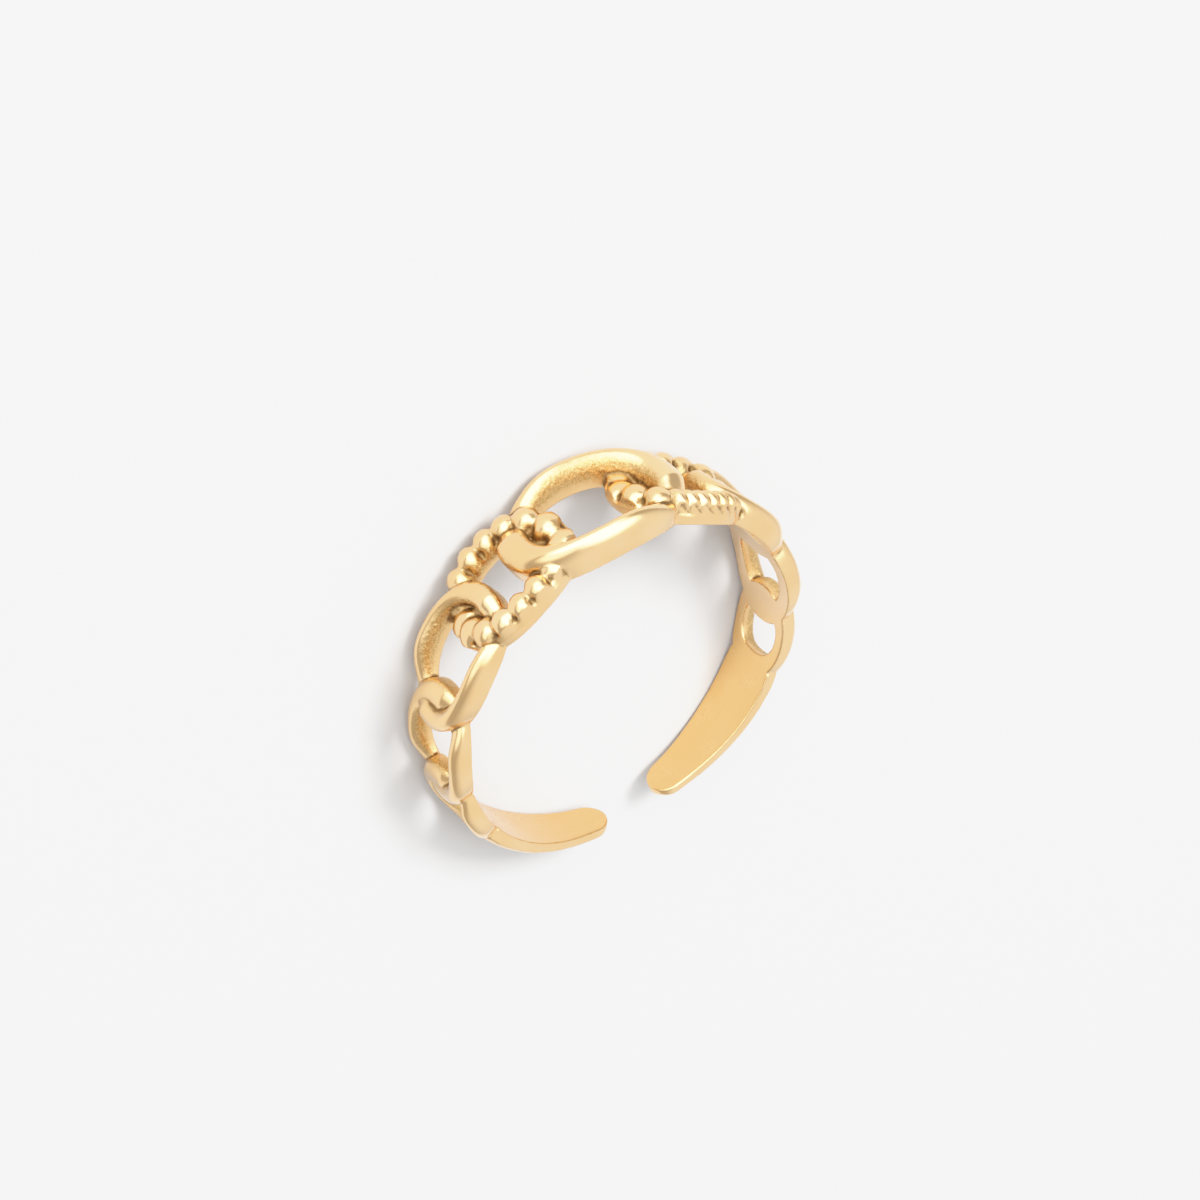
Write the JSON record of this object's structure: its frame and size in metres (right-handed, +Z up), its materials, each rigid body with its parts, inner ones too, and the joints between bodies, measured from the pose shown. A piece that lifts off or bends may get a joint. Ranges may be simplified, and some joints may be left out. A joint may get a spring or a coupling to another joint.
{
  "type": "chain link ring",
  "caption": "Open finger ring cast as a band of interlocked curb links, with a large link and roped links at the front and a flat shank at the back.",
  "frame": {"origin": "on the resting plane, under the middle of the ring", "axes": "+Z up, about 5 degrees off the axis of the finger hole, which leans back; -Y towards the big link at the front; +Y towards the open gap at the back"},
  "size_m": [0.0192, 0.0194, 0.0057],
  "materials": {
    "gold": "polished gold tone, satin inside and grainy in the link openings"
  },
  "bodies": {
    "root": {"ring": "gold"}
  },
  "joints": []
}
